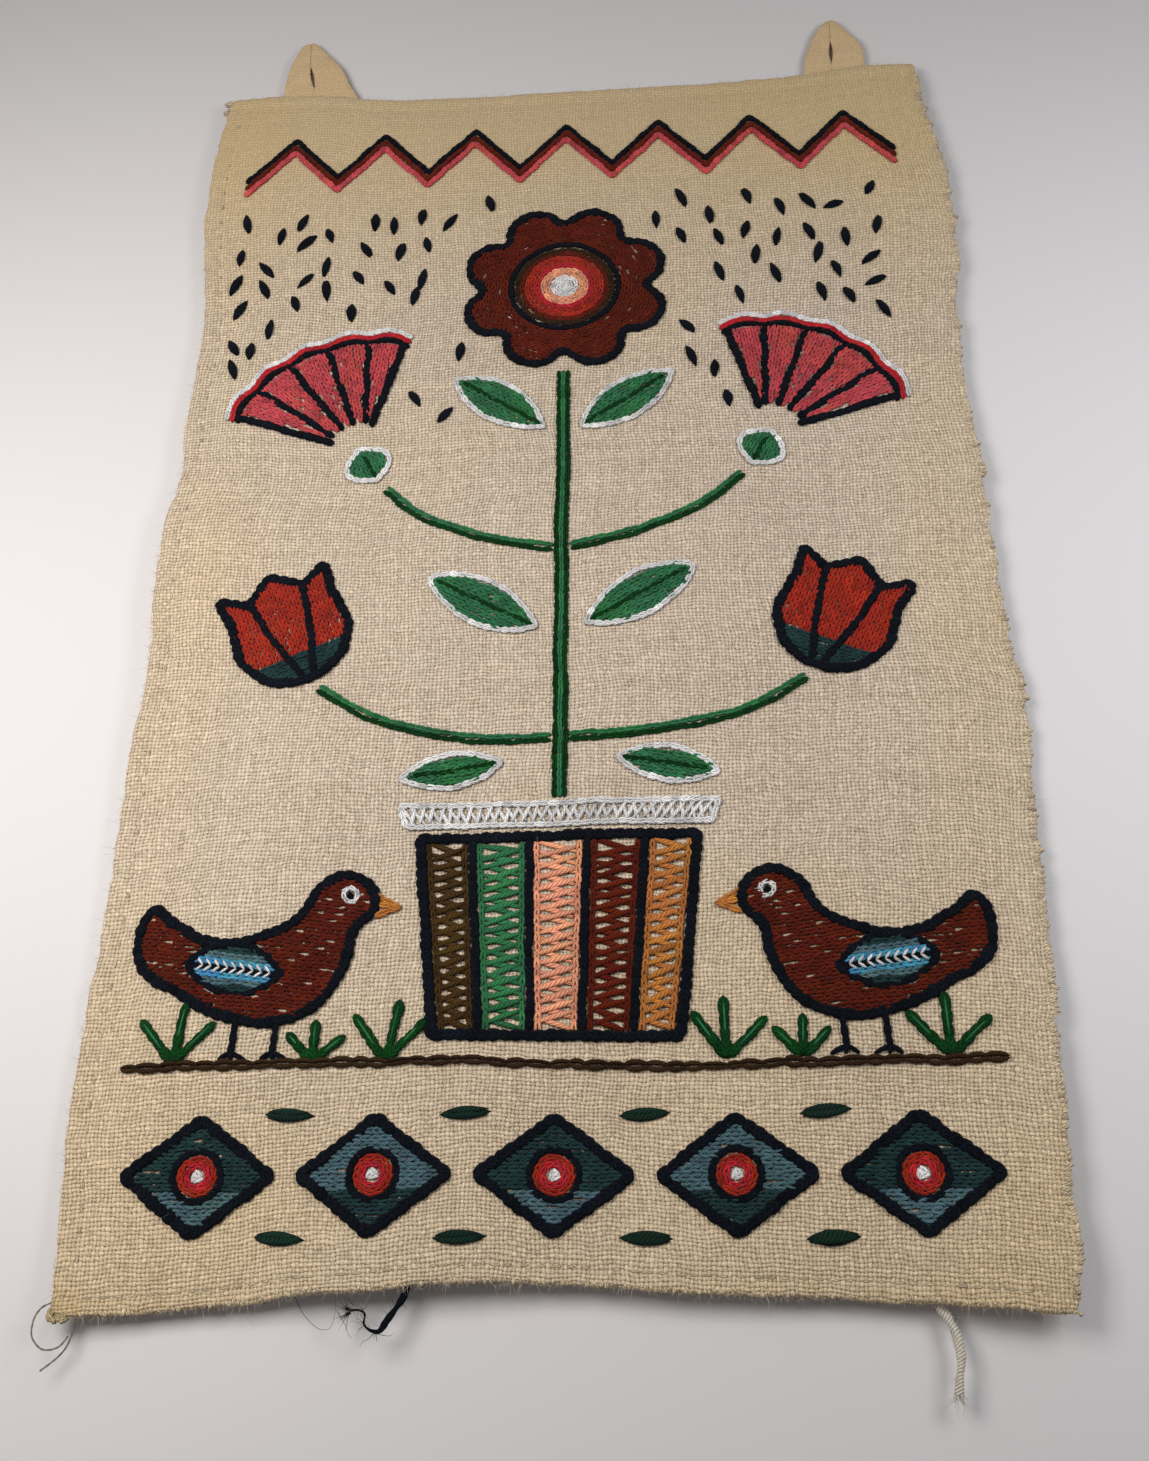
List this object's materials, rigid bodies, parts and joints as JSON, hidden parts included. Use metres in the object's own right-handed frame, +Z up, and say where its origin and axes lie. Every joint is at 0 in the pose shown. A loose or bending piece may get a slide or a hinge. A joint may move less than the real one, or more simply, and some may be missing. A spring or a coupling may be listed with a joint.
{
  "type": "woven wall hanging",
  "caption": "Hand-woven wall panel with hemmed edges, two folded hanging loops, and a flowering plant, birds and borders raised in wool chain stitch.",
  "frame": {"origin": "middle of the panel's top edge, in the middle of the cloth's thickness", "axes": "+Z up along the cloth, +X to the right as seen from its worked face, +Y backwards to the wall"},
  "size_m": [0.3766, 0.0125, 0.6697],
  "materials": {
    "ground_cloth": "matt",
    "wool_white": "matt",
    "wool_black": "matt",
    "wool_rust": "matt",
    "wool_rose": "matt",
    "wool_orange": "matt",
    "wool_green": "matt",
    "wool_teal": "matt",
    "wool_blue": "matt",
    "wool_brown": "matt"
  },
  "bodies": {
    "root": {"panel": "ground_cloth", "loop_left": "ground_cloth", "loop_right": "ground_cloth", "thread_white": "wool_white", "thread_navy": "wool_black", "thread_corner_curl": "wool_white", "thread_corner_end": "wool_white", "wool_zigzag": "wool_rust", "wool_rosette_petals": "wool_rust", "wool_rosette_middle": "wool_orange", "wool_stem": "wool_green", "wool_pot_rim": "wool_white", "wool_pot": "wool_brown", "wool_ground_line": "wool_brown", "wool_fan_left": "wool_rose", "wool_fan_cup_left": "wool_green", "wool_tulip_left": "wool_orange", "wool_upper_branch_left": "wool_green", "wool_lower_branch_left": "wool_green", "wool_top_leaf_left": "wool_green", "wool_middle_leaf_left": "wool_green", "wool_low_leaf_left": "wool_green", "wool_bird_left": "wool_rust", "wool_fan_right": "wool_rose", "wool_fan_cup_right": "wool_green", "wool_tulip_right": "wool_orange", "wool_upper_branch_right": "wool_green", "wool_lower_branch_right": "wool_green", "wool_top_leaf_right": "wool_green", "wool_middle_leaf_right": "wool_green", "wool_low_leaf_right": "wool_green", "wool_bird_right": "wool_rust", "wool_lozenge_1": "wool_teal", "wool_lozenge_2": "wool_blue", "wool_lozenge_3": "wool_teal", "wool_lozenge_4": "wool_blue", "wool_lozenge_5": "wool_teal"}
  },
  "joints": []
}
